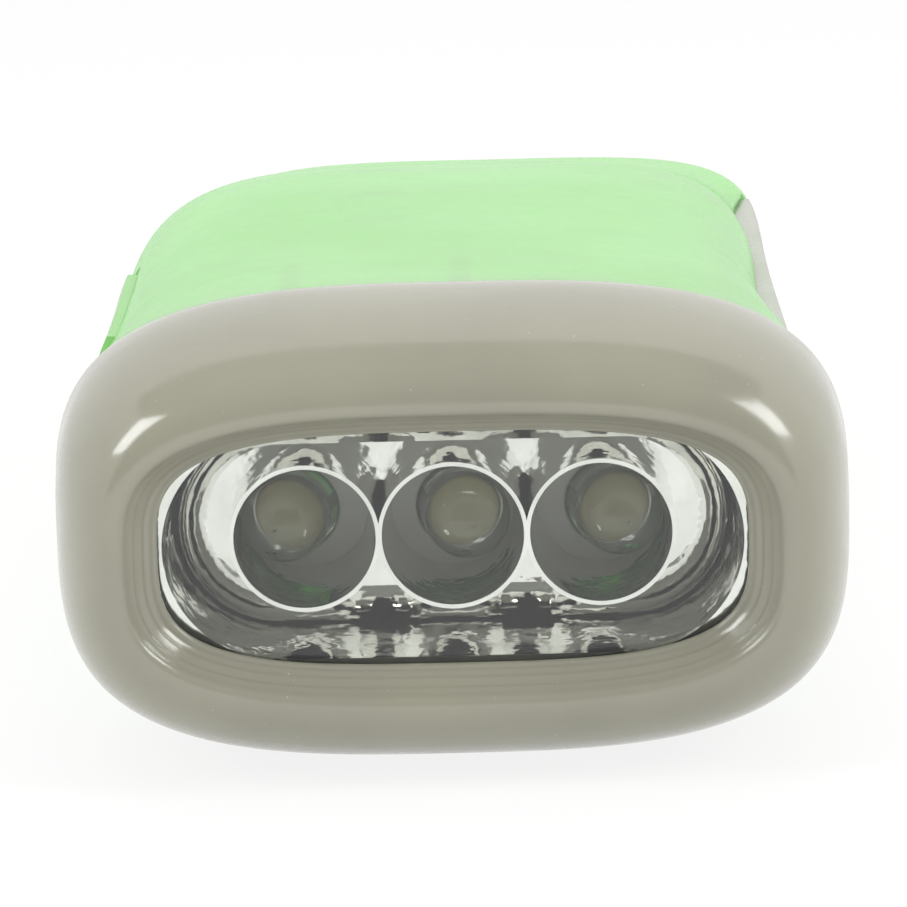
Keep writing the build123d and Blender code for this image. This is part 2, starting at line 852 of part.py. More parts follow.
with BuildPart() as lock_slider:
    add(
        slab(
            lock_x - lock_pad_half_width,
            lock_x + lock_pad_half_width,
            lock_pad_start,
            lock_pad_end,
            lock_pad_low,
            lock_pad_high,
        )
    )
    fillet(lock_slider.edges().filter_by(Axis.Z), 1.2)
    groove_pitch = (lock_pad_end - lock_pad_start) / 6
    for i in range(1, 6):
        depth = lock_pad_start + i * groove_pitch
        add(
            slab(
                lock_x - lock_pad_half_width + 0.8,
                lock_x + lock_pad_half_width - 0.8,
                depth - 0.25,
                depth + 0.25,
                lock_pad_low,
                lock_pad_low + 0.3,
            ),
            mode=Mode.SUBTRACT,
        )
    add(slab(stem_left, stem_right, lock_stem_start, lock_stem_end, lock_pad_high, lock_arm_high))
    add(
        slab(
            stem_left - 0.8,
            stem_right + 0.8,
            lock_stem_start - 0.6,
            lock_stem_end + 0.6,
            plate_low,
            plate_low + lock_plate_thickness,
        )
    )
    finger_right = lock_finger_x + lock_finger_width
    add(slab(stem_left, finger_right, lock_stem_start, lock_stem_end, lock_arm_low, lock_arm_high))
    add(slab(lock_finger_x, finger_right, lock_finger_start, lock_stem_end, lock_arm_low, lock_arm_high))

wire_route = [
    (-5.6, 91.2),
    (-7.6, 89.9),
    (-8.6, 86.6),
    (-8.9, 79.0),
    (-9.6, 70.5),
    (-10.7, 62.0),
    (-11.0, 53.0),
    (-9.9, 44.0),
    (-9.3, 35.5),
    (-8.3, 27.5),
    (-8.4, board_back + 0.1),
]


def bend_radius(before, corner, after):
    """The largest tidy arc at a corner: its tangents take 0.45 of the shorter run."""
    runs = corner - before, after - corner
    turn = radians(runs[0].get_angle(runs[1]))
    return 0.45 * min(run.length for run in runs) / tan(turn / 2)


def laid_wire(shift):
    """One insulated wire along the floor, shifted sideways from its twin."""
    points = [Vector(x + shift, y_at(depth - shift), wire_z) for x, depth in wire_route[:-1]]
    points.append(Vector(wire_route[-1][0] + shift, y_at(wire_route[-1][1]), wire_z))
    bends = [bend_radius(*three) for three in zip(points, points[1:], points[2:])]
    with BuildPart() as wire:
        with BuildLine() as route:
            FilletPolyline(*points, radius=bends)
        with BuildSketch(Plane(route.line @ 0, z_dir=route.line % 0)):
            Circle(wire_radius)
        sweep()
    print("wire bends", [round(bend, 1) for bend in bends], "of a run", round(route.wire().length, 1))
    return wire.part


with BuildPart() as coil_leads:
    for shift in (0, wire_spacing):
        add(laid_wire(shift))

with BuildPart() as case_screws:
    for x, depth in screw_spots.values():
        add(post(x, depth, screw_head_radius, screw_seat - screw_head_height, screw_seat))
        add(post(x, depth, screw_radius, screw_seat, screw_top))
        add(
            slab(
                x - 1.2, x + 1.2, depth - 0.2, depth + 0.2, screw_seat - screw_head_height, screw_seat - 0.8
            ),
            mode=Mode.SUBTRACT,
        )
        add(
            slab(
                x - 0.2, x + 0.2, depth - 1.2, depth + 1.2, screw_seat - screw_head_height, screw_seat - 0.8
            ),
            mode=Mode.SUBTRACT,
        )

spigot = lofted(
    [
        ring_section(depth, spigot_half_width - head_gap, spigot_half_height - head_gap, head_power)
        for depth in (spigot_start, head_depth + front_web / 2)
    ]
)
spigot_hollow = lofted(
    [
        ring_section(
            depth, spigot_half_width - head_gap - wall, spigot_half_height - head_gap - wall, head_power
        )
        for depth in (spigot_start - 1, head_depth + front_web + 1)
    ]
)
lever_room = lever_bay(slot_gap)
slider_window = slab(
    -reach,
    -head_half_width / 2,
    slider_start - slider_travel - slider_gap,
    slider_end + slider_gap,
    slider_low - slider_gap,
    slider_high + slider_gap,
)
flange_room = slab(
    -reach,
    0,
    slider_start - slider_flange_reach - 1.5 * slider_travel - slider_room,
    slider_end + slider_flange_reach + slider_travel + slider_room,
    slider_low - slider_flange_reach - slider_room,
    slider_high + slider_flange_reach + slider_room,
) - body_form(wall + head_gap * 2 + slider_flange + slider_room)
front_wall = slab(-reach, reach, 0, head_depth + front_web, -1, case_top + 1)
hollow_case = outer_form + spigot - (cavity_form - front_wall) - spigot_hollow - lever_room

upper_ribs = Part() + [
    post(x, depth, boss_radius, boss_meet_z + boss_gap, case_top) for x, depth in screw_spots.values()
]
upper_ribs += [post(*spot, axle_boss_radius, high, case_top) for spot, low, high in axles.values()]
upper_ribs += post(hinge_x, hinge_depth, hinge_boss_radius, slot_high, case_top)
cradle_xs = (cell_left_x + cell_thickness / 2, cell_left_x + stack_length - cell_thickness / 2)
for x in cradle_xs:
    upper_ribs += slab(
        x - cradle_thickness / 2,
        x + cradle_thickness / 2,
        battery_depth - cell_radius - 0.6,
        battery_depth + cell_radius + 0.6,
        battery_z,
        case_top,
    )
for depth in (switch_start - switch_wall - switch_wall_gap, switch_end + switch_wall_gap):
    wall_end = depth + switch_wall
    upper_ribs += slab(switch_left, switch_right - switch_lead_room, depth, wall_end, switch_low, case_top)
    upper_ribs += slab(switch_left, switch_right + 2, depth, wall_end, switch_high, case_top)
upper_ribs -= flange_room
upper_ribs += slab(12.4, 15.9, head_depth + 2.4, head_depth + 4.2, 20.4, case_top)

with BuildPart() as upper_shell:
    add(hollow_case - slider_window)
    split(bisect_by=Plane.XY.offset(parting_z), keep=Keep.TOP)
    add(upper_ribs & core_form)
    with Locations(cell_axis):
        Cylinder(
            cell_radius + sleeve_thickness + 0.1,
            stack_length,
            align=(Align.CENTER, Align.CENTER, Align.MIN),
            mode=Mode.SUBTRACT,
        )
    for x, depth in screw_spots.values():
        add(post(x, depth, screw_radius + 0.02, boss_meet_z, screw_top + 0.3), mode=Mode.SUBTRACT)
    for spot, low, high in axles.values():
        add(post(*spot, axle_radius + 0.02, high - 1, high + axle_seat + 0.1), mode=Mode.SUBTRACT)
    add(
        post(hinge_x, hinge_depth, pin_radius + 0.02, slot_high - 1, pin_high + 0.1),
        mode=Mode.SUBTRACT,
    )

lower_ribs = Part() + [
    post(x, depth, boss_radius + 0.6, 0, boss_meet_z) for x, depth in screw_spots.values()
]
lower_ribs += [post(*spot, axle_boss_radius, 0, low) for spot, low, high in axles.values()]
lower_ribs += post(hinge_x, hinge_depth, hinge_boss_radius, 0, slot_low)
lower_ribs += slab(
    lock_x - lock_pad_half_width - 0.6,
    lock_x + lock_pad_half_width + 0.6,
    lock_pad_start - lock_travel - 1.2,
    lock_pad_end + 1.2,
    0,
    lock_floor_top,
)
for side in (-1, 1):
    x = rotor_spot[0] + side * (core_inner + core_rest / 2)
    rest_start = core_bar_depth - core_rest_back
    lower_ribs += slab(x - core_rest / 2, x + core_rest / 2, rest_start, rest_start + 2.5, 0, core_bottom)
for x in (board_left + 3.5, board_right - 3.5):
    rail = slab(x - 1, x + 1, board_depth - 1.2, board_back + 1.2, 0, board_bottom + 2)
    rail -= slab(x - 2, x + 2, board_depth - 0.1, board_back + 0.1, board_bottom - 0.1, board_top)
    lower_ribs += rail

with BuildPart() as lower_shell:
    add(hollow_case)
    split(bisect_by=Plane.XY.offset(parting_z), keep=Keep.BOTTOM)
    add(lower_ribs & core_form)
    split(bisect_by=Plane.XY, keep=Keep.TOP)
    for x, depth in screw_spots.values():
        add(post(x, depth, screw_head_radius + 0.2, -1, screw_seat), mode=Mode.SUBTRACT)
        add(post(x, depth, screw_radius + 0.15, 0, boss_meet_z + 1), mode=Mode.SUBTRACT)
    for spot, low, high in axles.values():
        add(post(*spot, axle_radius + 0.02, low - axle_seat - 0.1, low + 1), mode=Mode.SUBTRACT)
    add(
        post(hinge_x, hinge_depth, pin_radius + 0.02, pin_low - 0.1, slot_low + 1),
        mode=Mode.SUBTRACT,
    )
    add(
        slab(
            lock_x - lock_pad_half_width - lock_gap,
            reach,
            lock_pad_start - lock_travel - lock_gap,
            lock_pad_end + lock_gap,
            -1,
            lock_floor,
        ),
        mode=Mode.SUBTRACT,
    )
    add(
        slab(
            stem_left - lock_gap,
            stem_right + lock_gap,
            lock_stem_start - lock_travel - lock_gap,
            lock_stem_end + lock_gap,
            0,
            lock_floor_top + 1,
        ),
        mode=Mode.SUBTRACT,
    )

pieces = {
    "front_bezel": front_bezel,
    "window_lens": window_lens,
    "reflector": reflector,
    "led_left": leds["left"],
    "led_middle": leds["middle"],
    "led_right": leds["right"],
    "led_leads": led_leads,
    "led_board": led_board,
    "rectifier_diodes": rectifier_diodes,
    "upper_shell": upper_shell,
    "lower_shell": lower_shell,
    "case_screws": case_screws,
    "squeeze_lever": squeeze_lever,
    "lever_pin": lever_pin,
    "return_spring": return_spring,
    "first_gear": first_gear,
    "clutch_drum": clutch_drum,
    "second_gear": second_gear,
    "rotor_gear": rotor_gear,
    "ring_magnet": ring_magnet,
    "flywheel": flywheel,
    **axle_parts,
    "stator_core": stator_core,
    "coil_bobbin": coil_bobbin,
    "coil_winding": coil_winding,
    "coil_leads": coil_leads,
    "battery_cells": battery_cells,
    "battery_sleeve": battery_sleeve,
    "battery_tabs": battery_tabs,
    "switch_slider": switch_slider,
    "switch_nub": switch_nub,
    "switch_body": switch_body,
    "switch_leads": switch_leads,
    "lock_slider": lock_slider,
}

os.makedirs("parts", exist_ok=True)
for name, piece in pieces.items():
    piece.part.label = name
    export_step(piece.part, f"parts/{name}.step")

print("first gear at", first_spot, "second gear at", second_spot, "rotor at", rotor_spot)
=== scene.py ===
from math import copysign, cos, pi, radians, sin

import bmesh
import bpy
from mathutils import Matrix, Vector


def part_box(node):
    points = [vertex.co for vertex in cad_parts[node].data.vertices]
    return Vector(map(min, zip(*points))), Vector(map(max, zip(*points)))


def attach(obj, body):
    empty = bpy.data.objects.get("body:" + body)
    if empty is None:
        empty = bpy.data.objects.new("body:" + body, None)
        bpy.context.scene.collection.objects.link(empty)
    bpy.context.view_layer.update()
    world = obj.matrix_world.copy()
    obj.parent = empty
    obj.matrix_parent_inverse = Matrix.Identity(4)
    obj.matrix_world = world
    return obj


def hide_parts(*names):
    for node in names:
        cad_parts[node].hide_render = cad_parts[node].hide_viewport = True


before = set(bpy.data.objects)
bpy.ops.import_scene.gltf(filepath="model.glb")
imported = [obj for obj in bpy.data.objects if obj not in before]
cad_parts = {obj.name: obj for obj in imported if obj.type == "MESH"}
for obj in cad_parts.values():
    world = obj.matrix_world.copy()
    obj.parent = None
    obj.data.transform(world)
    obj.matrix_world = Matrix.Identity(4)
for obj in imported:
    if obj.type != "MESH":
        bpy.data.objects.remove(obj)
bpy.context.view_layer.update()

# A squeeze-lever dynamo torch, seen from the front and a little above.
# Lengths are in metres once they leave the dictionaries, which hold millimetres and degrees.
mm = 0.001


def toLinear(hexColour):
    parts = [int(hexColour[i : i + 2], 16) / 255 for i in (1, 3, 5)]
    return [p / 12.92 if p <= 0.04045 else ((p + 0.055) / 1.055) ** 2.4 for p in parts] + [1.0]


def addNode(tree, kind, inputs=None, **settings):
    node = tree.nodes.new(kind)
    for name, value in settings.items():
        setattr(node, name, value)
    for name, value in (inputs or {}).items():
        if isinstance(value, bpy.types.NodeSocket):
            tree.links.new(value, node.inputs[name])
        else:
            node.inputs[name].default_value = value
    return node


def perMetre(millimetres):
    return 1000 / millimetres  # a noise scale that gives spots of that size


def newMaterial(name):
    material = bpy.data.materials.new(name)
    material.use_nodes = True
    material.node_tree.nodes.clear()
    return material, material.node_tree


def finishMaterial(tree, shader):
    addNode(tree, "ShaderNodeOutputMaterial", {"Surface": shader.outputs[0]})


# camera

cameraSet = {
    "photoWidth": 907,
    "focalPixels": 5530,
    "sensor": 36,
    "lookDown": 13.27,
    "turn": -0.206,
    "roll": 1.42,
    "distance": 311.5,  # from the crest of the head, along the way it looks
    "above": 5.9,
    "aside": 0.17,
    "crestHeight": 13.9,
}


def placeCamera(s):
    look, turn, roll = radians(s["lookDown"]), radians(s["turn"]), radians(s["roll"])
    across = Vector((cos(turn), -sin(turn), 0))
    ahead = Vector((cos(look) * sin(turn), cos(look) * cos(turn), -sin(look)))
    upward = Vector((sin(look) * sin(turn), sin(look) * cos(turn), cos(look)))
    right = cos(roll) * across - sin(roll) * upward
    top = sin(roll) * across + cos(roll) * upward
    crest = Vector((0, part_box("front_bezel")[0][1], s["crestHeight"] * mm))
    spot = crest + (s["aside"] * across + s["above"] * upward - s["distance"] * ahead) * mm
    data = bpy.data.cameras.new("camera")
    data.sensor_width = s["sensor"]
    data.lens = s["focalPixels"] * s["sensor"] / s["photoWidth"]
    data.clip_start = 0.02
    camera = bpy.data.objects.new("camera", data)
    bpy.context.scene.collection.objects.link(camera)
    columns = Matrix((right, top, -ahead)).transposed().to_4x4()
    camera.matrix_world = Matrix.Translation(spot) @ columns
    bpy.context.scene.camera = camera
    print("camera at", [round(v / mm, 1) for v in spot], "mm")


placeCamera(cameraSet)

# light, floor and background

lampSet = {
    # name: place and target in mm, size in mm, strength of its light as a surface
    "ceiling": {
        "at": (0, 40, 420),
        "towards": (0, 0, 10),
        "size": (420, 420),
        "radiance": 1.6,
        "mirrored": False,  # it lights things but doesn't show in reflections
    },
    "leftWindow": {"at": (-260, -190, 230), "towards": (0, -40, 14), "size": (120, 150), "radiance": 7.6},
    "rightWindow": {"at": (270, -170, 240), "towards": (0, -40, 14), "size": (150, 150), "radiance": 7.6},
}


def addLamp(name, s):
    data = bpy.data.lights.new(name, "AREA")
    data.shape = "RECTANGLE"
    data.size, data.size_y = s["size"][0] * mm, s["size"][1] * mm
    data.energy = s["radiance"] * pi * data.size * data.size_y
    lamp = bpy.data.objects.new(name, data)
    lamp.visible_glossy = s.get("mirrored", True)
    bpy.context.scene.collection.objects.link(lamp)
    at, towards = Vector(s["at"]) * mm, Vector(s["towards"]) * mm
    turned = (towards - at).to_track_quat("-Z", "Y").to_matrix().to_4x4()
    lamp.matrix_world = Matrix.Translation(at) @ turned


for lampName, lampValues in lampSet.items():
    addLamp(lampName, lampValues)

worldSet = {"seen": 1.0, "lighting": 0.62}


def seenByCamera(tree):
    # 1 for rays that the camera, a reflection or a clear piece looks along, 0 for those that light things
    path = addNode(tree, "ShaderNodeLightPath").outputs
    looks = {0: path["Is Camera Ray"], 1: path["Is Glossy Ray"]}
    either = addNode(tree, "ShaderNodeMath", looks, operation="MAXIMUM")
    looks = {0: either.outputs[0], 1: path["Is Transmission Ray"]}
    return addNode(tree, "ShaderNodeMath", looks, operation="MAXIMUM").outputs[0]


def makeWorld(s):
    world = bpy.data.worlds.new("studio")
    bpy.context.scene.world = world
    world.use_nodes = True
    tree = world.node_tree
    tree.nodes.clear()
    shown = seenByCamera(tree)
    strength = addNode(
        tree, "ShaderNodeMapRange", {"Value": shown, "To Min": s["lighting"], "To Max": s["seen"]}
    )
    light = addNode(tree, "ShaderNodeBackground", {"Color": (1, 1, 1, 1), "Strength": strength.outputs[0]})
    addNode(tree, "ShaderNodeOutputWorld", {"Surface": light.outputs[0]})


makeWorld(worldSet)

floorSet = {"half": 900, "colour": "#f4f4f2", "glow": 0.86}


def makeFloor(s):
    bm = bmesh.new()
    bmesh.ops.create_grid(bm, x_segments=2, y_segments=2, size=s["half"] * mm)
    mesh = bpy.data.meshes.new("floor")
    bm.to_mesh(mesh)
    bm.free()
    floor = bpy.data.objects.new("floor", mesh)
    bpy.context.scene.collection.objects.link(floor)
    material = bpy.data.materials.new("paperWhite")
    material.use_nodes = True
    tree = material.node_tree
    tree.nodes.clear()
    paper = addNode(tree, "ShaderNodeBsdfDiffuse", {"Color": toLinear(s["colour"])})
    glow = addNode(tree, "ShaderNodeEmission", {"Color": (1, 1, 1, 1), "Strength": 1.0})
    share = addNode(tree, "ShaderNodeMath", {0: seenByCamera(tree), 1: s["glow"]}, operation="MULTIPLY")
    mixed = addNode(
        tree, "ShaderNodeMixShader", {0: share.outputs[0], 1: paper.outputs[0], 2: glow.outputs[0]}
    )
    addNode(tree, "ShaderNodeOutputMaterial", {"Surface": mixed.outputs[0]})
    mesh.materials.append(material)


makeFloor(floorSet)

# the dim side of the room, behind the camera and overhead, as glossy surfaces show it
dimRoomSet = {
    "half": 420,
    "edges": [(-470, -60), (-470, 300), (-330, 470), (140, 500)],  # its bends from the side: y, z
    "colours": ["#7c7c78", "#8a8a85", "#7a7a75"],
}


def makeDimRoom(s):
    bm = bmesh.new()
    sides = [
        [bm.verts.new((side * s["half"] * mm, y * mm, z * mm)) for y, z in s["edges"]] for side in (-1, 1)
    ]
    mesh = bpy.data.meshes.new("dimRoom")
    for i, colour in enumerate(s["colours"]):
        panel = bm.faces.new([sides[0][i], sides[1][i], sides[1][i + 1], sides[0][i + 1]])
        panel.material_index = i
        material, tree = newMaterial(f"greyCloth{i}")
        cloth = addNode(tree, "ShaderNodeEmission", {"Color": toLinear(colour), "Strength": 1.0})
        finishMaterial(tree, cloth)
        mesh.materials.append(material)
    bm.to_mesh(mesh)
    bm.free()
    screen = bpy.data.objects.new("dimRoom", mesh)
    bpy.context.scene.collection.objects.link(screen)
    screen.visible_camera = False
    screen.visible_diffuse = False
    screen.visible_shadow = False


makeDimRoom(dimRoomSet)
bpy.context.scene.view_settings.view_transform = "Standard"
print("camera, lamps and floor are ready")

# materials


def spots(tree, size, detail=2.0):
    place = addNode(tree, "ShaderNodeTexCoord").outputs["Object"]
    noise = addNode(
        tree,
        "ShaderNodeTexNoise",
        {"Vector": place, "Scale": perMetre(size), "Detail": detail, "Roughness": 0.5},
    )
    return noise.outputs[0]


def between(tree, value, low, high, fromLow=0.35, fromHigh=0.65):
    # spreads a noise's middle range between two values
    return addNode(
        tree,
        "ShaderNodeMapRange",
        {"Value": value, "From Min": fromLow, "From Max": fromHigh, "To Min": low, "To Max": high},
    ).outputs[0]


def twoColours(tree, share, first, second):
    return addNode(
        tree,
        "ShaderNodeMix",
        {0: share, 6: toLinear(first), 7: toLinear(second)},
        data_type="RGBA",
    ).outputs[2]


def mouldedPlastic(name, s):
    # Injection-moulded plastic: even colour with faint flow shading, a soft skin shine with a very
    # slight waviness from the mould, edges that catch the light, and a few specks of dust.
    material, tree = newMaterial(name)
    flow = spots(tree, 9, 3)
    colour = twoColours(tree, between(tree, flow, 0, 1), s["colour"], s["shade"])
    dust = between(tree, spots(tree, 0.25, 1), 0, s.get("dust", 0.3), 0.77, 0.82)
    dusty = addNode(tree, "ShaderNodeMix", {0: dust, 6: colour, 7: toLinear("#d9d8d0")}, data_type="RGBA")
    rough = between(tree, spots(tree, 4, 3), s["shine"] - 0.03, s["shine"] + 0.05)
    skin = spots(tree, s.get("grain", 0.5), 2)
    edge = addNode(tree, "ShaderNodeBevel", {"Radius": s.get("edge", 0.2) * mm}, samples=4)
    bump = addNode(
        tree,
        "ShaderNodeBump",
        {"Height": skin, "Strength": s.get("bump", 0.04), "Distance": 0.0001, "Normal": edge.outputs[0]},
    )
    shader = addNode(
        tree,
        "ShaderNodeBsdfPrincipled",
        {
            "Base Color": dusty.outputs[2],
            "Roughness": rough,
            "Normal": bump.outputs[0],
            "IOR": s.get("ior", 1.53),
            "Subsurface Weight": s.get("depth", 0.0),
            "Subsurface Radius": (0.6 * mm, 0.6 * mm, 0.5 * mm),
            "Subsurface Scale": 1.0,
        },
    )
    finishMaterial(tree, shader)
    return material


def greenPolystyrene(name, s):
    # Translucent moulded polystyrene: a lit green body that light passes through, so that dark
    # things behind it show as faint shades, under a glossy skin that goes pale at a low angle.
    material, tree = newMaterial(name)
    flow = spots(tree, 14, 3)
    colour = twoColours(tree, between(tree, flow, 0, 1), s["colour"], s["shade"])
    skin = spots(tree, 1.2, 2)
    edge = addNode(tree, "ShaderNodeBevel", {"Radius": 0.35 * mm}, samples=4)
    bump = addNode(
        tree,
        "ShaderNodeBump",
        {"Height": skin, "Strength": 0.03, "Distance": 0.0001, "Normal": edge.outputs[0]},
    )
    rough = between(tree, spots(tree, 5, 3), s["shine"] - 0.03, s["shine"] + 0.05)
    body = addNode(
        tree,
        "ShaderNodeBsdfPrincipled",
        {"Base Color": colour, "Roughness": rough, "Normal": bump.outputs[0], "IOR": 1.59},
    )
    through = addNode(tree, "ShaderNodeBsdfTranslucent", {"Color": toLinear(s["through"])})
    clear = addNode(tree, "ShaderNodeBsdfTransparent", {"Color": toLinear(s["clear"])})
    lit = addNode(
        tree, "ShaderNodeMixShader", {0: s["throughShare"], 1: body.outputs[0], 2: through.outputs[0]}
    )
    seen = addNode(tree, "ShaderNodeMixShader", {0: s["clearShare"], 1: lit.outputs[0], 2: clear.outputs[0]})
    finishMaterial(tree, seen)
    return material


def clearPlastic(name, s):
    # Clear moulded or cast plastic: colourless, smooth, with a haze of fine rub marks.
    material, tree = newMaterial(name)
    rough = between(tree, spots(tree, 0.8, 4), 0.0, s["haze"], 0.55, 0.75)
    wave = spots(tree, 6, 1)
    bump = addNode(tree, "ShaderNodeBump", {"Height": wave, "Strength": s["bump"], "Distance": 0.0001})
    shader = addNode(
        tree,
        "ShaderNodeBsdfPrincipled",
        {
            "Base Color": toLinear(s["colour"]),
            "Roughness": rough,
            "Normal": bump.outputs[0],
            "IOR": s["ior"],
            "Transmission Weight": s.get("clarity", 1.0),
        },
    )
    finishMaterial(tree, shader)
    return material


def metalSkin(name, s):
    # A metal surface: its own colour in the reflection, and a texture of its making that breaks it up.
    material, tree = newMaterial(name)
    tone = between(tree, spots(tree, s.get("patch", 3), 3), 0, 1)
    colour = twoColours(tree, tone, s["colour"], s["shade"])
    rough = between(tree, spots(tree, s.get("patch", 3), 4), s["rough"][0], s["rough"][1])
    grain = spots(tree, s["grain"], 2)
    bump = addNode(tree, "ShaderNodeBump", {"Height": grain, "Strength": s["bump"], "Distance": 0.0001})
    shader = addNode(
        tree,
        "ShaderNodeBsdfPrincipled",
        {"Base Color": colour, "Metallic": 1.0, "Roughness": rough, "Normal": bump.outputs[0]},
    )
    finishMaterial(tree, shader)
    return material


mouldedFinishes = {
    "bezelAbs": {"colour": "#959484", "shade": "#908f80", "shine": 0.15, "depth": 0.1, "ior": 1.68},
    "leverAbs": {"colour": "#b3b5aa", "shade": "#acaea2", "shine": 0.28},
    "lockAbs": {"colour": "#a9aaa0", "shade": "#a0a196", "shine": 0.35},
    "solderMask": {"colour": "#dcdcd4", "shade": "#d0d0c8", "shine": 0.3, "dust": 0},
    "phosphor": {"colour": "#ddd8a0", "shade": "#d2cc8c", "shine": 0.5, "dust": 0},
    "diodeEpoxy": {"colour": "#222222", "shade": "#2b2a29", "shine": 0.4, "dust": 0},
    "acetalWhite": {"colour": "#e9e8df", "shade": "#e0dfd5", "shine": 0.45, "dust": 0},
    "drumAbs": {"colour": "#3d423d", "shade": "#353a35", "shine": 0.45, "dust": 0},
    "ferrite": {
        "colour": "#2c2b2c",
        "shade": "#363435",
        "shine": 0.6,
        "grain": 0.15,
        "bump": 0.3,
        "dust": 0,
    },
    "bobbinNylon": {"colour": "#e2ddcf", "shade": "#d8d2c2", "shine": 0.45, "dust": 0},
    "redPvc": {"colour": "#b3231d", "shade": "#a01c17", "shine": 0.4, "dust": 0},
    "shrinkSleeve": {"colour": "#2b7a3d", "shade": "#236934", "shine": 0.25, "dust": 0},
    "switchNylon": {"colour": "#2a2a2b", "shade": "#323233", "shine": 0.45, "dust": 0},
}
greenFinishes = {
    "caseGreen": {
        "colour": "#bff2ab",
        "shade": "#b6ec9f",
        "shine": 0.16,
        "through": "#9bff78",
        "throughShare": 0.2,
        "clear": "#b9f5a4",
        "clearShare": 0.2,
    },
}
clearFinishes = {
    "windowClear": {"colour": "#fbfdfb", "ior": 1.5, "haze": 0.05, "bump": 0.02},
    "ledEpoxy": {"colour": "#f4f5ec", "ior": 1.5, "haze": 0.03, "bump": 0.02, "clarity": 0.86},
}
metalFinishes = {
    "mirrorPlating": {
        "colour": "#f0f0ec",
        "shade": "#e6e6e2",
        "rough": (0.04, 0.1),
        "grain": 1.5,
        "bump": 0.55,
    },
    "tinnedSteel": {
        "colour": "#c9c9c6",
        "shade": "#b4b4b0",
        "rough": (0.25, 0.4),
        "grain": 0.2,
        "bump": 0.1,
    },
    "zincSteel": {
        "colour": "#b9bbba",
        "shade": "#a3a6a5",
        "rough": (0.3, 0.45),
        "grain": 0.15,
        "bump": 0.15,
    },
    "groundSteel": {
        "colour": "#b6b6b4",
        "shade": "#a8a8a6",
        "rough": (0.18, 0.3),
        "grain": 0.1,
        "bump": 0.05,
    },
    "springWire": {
        "colour": "#8d8c89",
        "shade": "#7a7975",
        "rough": (0.25, 0.4),
        "grain": 0.15,
        "bump": 0.1,
    },
    "laminations": {
        "colour": "#6d6d6f",
        "shade": "#5c5b5c",
        "rough": (0.4, 0.55),
        "grain": 0.5,
        "bump": 0.2,
    },
    "turnedSteel": {
        "colour": "#aaa9a6",
        "shade": "#999894",
        "rough": (0.22, 0.35),
        "grain": 0.12,
        "bump": 0.08,
    },
    "nickelStrip": {
        "colour": "#c6c2b8",
        "shade": "#b3aea2",
        "rough": (0.2, 0.35),
        "grain": 0.2,
        "bump": 0.08,
    },
    "enamelledCopper": {
        "colour": "#c0703a",
        "shade": "#9a5226",
        "rough": (0.2, 0.35),
        "grain": 0.25,
        "bump": 0.4,
    },
}
materials = {}
for makeFinish, finishes in (
    (mouldedPlastic, mouldedFinishes),
    (greenPolystyrene, greenFinishes),
    (clearPlastic, clearFinishes),
    (metalSkin, metalFinishes),
):
    for finishName, finishValues in finishes.items():
        materials[finishName] = makeFinish(finishName, finishValues)
print("materials:", len(materials))

nodeMaterials = {
    "bezelAbs": ["front_bezel"],
    "leverAbs": ["squeeze_lever"],
    "lockAbs": ["lock_slider"],
    "caseGreen": ["upper_shell", "lower_shell", "switch_slider"],
    "windowClear": ["window_lens"],
    "ledEpoxy": ["led_left", "led_middle", "led_right"],
    "mirrorPlating": ["reflector"],
    "tinnedSteel": ["led_leads"],
    "solderMask": ["led_board"],
    "diodeEpoxy": ["rectifier_diodes"],
    "zincSteel": ["case_screws"],
    "groundSteel": ["lever_pin", "first_axle", "second_axle", "rotor_axle"],
    "springWire": ["return_spring"],
    "acetalWhite": ["first_gear", "second_gear", "rotor_gear"],
    "drumAbs": ["clutch_drum"],
    "ferrite": ["ring_magnet"],
    "turnedSteel": ["flywheel"],
    "laminations": ["stator_core"],
    "bobbinNylon": ["coil_bobbin"],
    "enamelledCopper": ["coil_winding"],
    "redPvc": ["coil_leads", "switch_leads"],
    "nickelStrip": ["battery_cells", "battery_tabs"],
    "shrinkSleeve": ["battery_sleeve"],
    "switchNylon": ["switch_body", "switch_nub"],
}
for finish, nodeNames in nodeMaterials.items():
    for nodeName in nodeNames:
        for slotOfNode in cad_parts[nodeName].material_slots:
            slotOfNode.material = materials[finish]
print("CAD nodes finished")

# the head's bezel, with its rounded crest, stepped bevel and lip

bezelSet = {
    "segments": 160,
    "height": 13.9,
    "crest": (19.3, 8.87),
    "widest": (23.0, 13.6, 10.575),
    "rim": [(14.1, 23.2, 13.0), (13.3, 23.2, 13.2), (12.4, 23.17, 13.4), (11.5, 23.08, 13.54)],
    "shoulderSteps": 16,
    "powers": (3.14, 3.4),
    # from the crest to the window: depth, then how far in at the sides and at the top
    "bevel": [
        (0.0, 0.3, 0.3),
        (0.05, 0.5, 0.48),
        (0.18, 0.66, 0.64),
        (0.4, 0.78, 0.75),
        (0.88, 1.13, 1.0),
        (0.93, 1.2, 1.05),
        (1.08, 1.23, 1.07),
        (1.14, 1.3, 1.12),
        (1.58, 1.62, 1.4),
        (1.63, 1.69, 1.45),
        (1.78, 1.72, 1.47),
        (1.84, 1.79, 1.52),
        (2.12, 2.02, 1.72),
        (2.15, 2.12, 1.79),
        (2.1, 2.24, 1.88),
        (2.11, 2.36, 1.97),
        (2.2, 2.46, 2.04),
        (2.36, 2.5, 2.07),
        (2.6, 2.5, 2.07),
    ],
    # behind the window: depth, half width, half height and squareness
    "inside": [(2.62, 17.9, 7.9, 5), (9.9, 18.7, 8.7, 5), (9.95, 21.4, 11.2, 3.14), (14.1, 21.4, 11.2, 3.14)],
}


